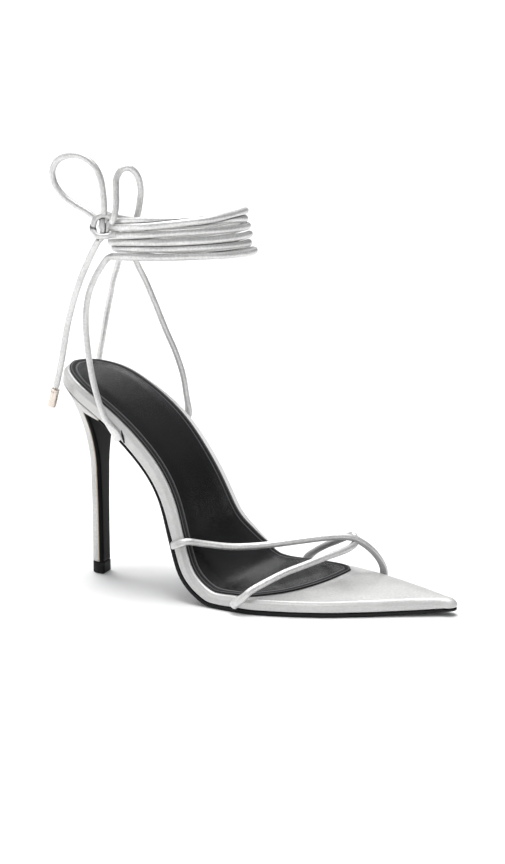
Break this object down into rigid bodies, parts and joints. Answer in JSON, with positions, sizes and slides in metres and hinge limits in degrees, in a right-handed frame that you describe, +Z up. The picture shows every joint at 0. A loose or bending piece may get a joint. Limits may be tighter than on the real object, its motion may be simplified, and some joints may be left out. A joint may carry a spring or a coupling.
{
  "type": "strappy stiletto sandal",
  "caption": "Pointed open stiletto sandal for the right foot: slim high heel, thin sole, crossed cord straps over the toes and a cord tie wound round the ankle with a bow.",
  "frame": {"origin": "on the floor under the ball of the foot, at the middle of the sole's flat spot", "axes": "+X to the toe, +Y to the big toe's side of the right foot, +Z up from the floor"},
  "size_m": [0.2163, 0.0854, 0.2278],
  "materials": {
    "silver_leather": "smooth metallic silver leather, soft sheen with fine grain",
    "black_sole_leather": "smooth black sole leather, satin",
    "black_lining_leather": "black lining leather, fine grain, low satin, stitched near its edge",
    "tip_rubber": "matt black rubber",
    "nickel_aglet": "pale champagne nickel, polished"
  },
  "bodies": {
    "root": {"outsole": "black_sole_leather", "footbed": "silver_leather", "insole": "black_lining_leather", "heel": "silver_leather", "heel_breast": "black_sole_leather", "heel_tip": "tip_rubber", "toe_straps": "silver_leather", "ankle_wrap": "silver_leather", "tie_riser_lateral": "silver_leather", "tie_riser_medial": "silver_leather", "bow_knot": "silver_leather", "bow_loop_back": "silver_leather", "bow_loop_front": "silver_leather", "tie_end_back": "silver_leather", "tie_end_front": "silver_leather", "aglet_back": "nickel_aglet", "aglet_front": "nickel_aglet"}
  },
  "joints": []
}
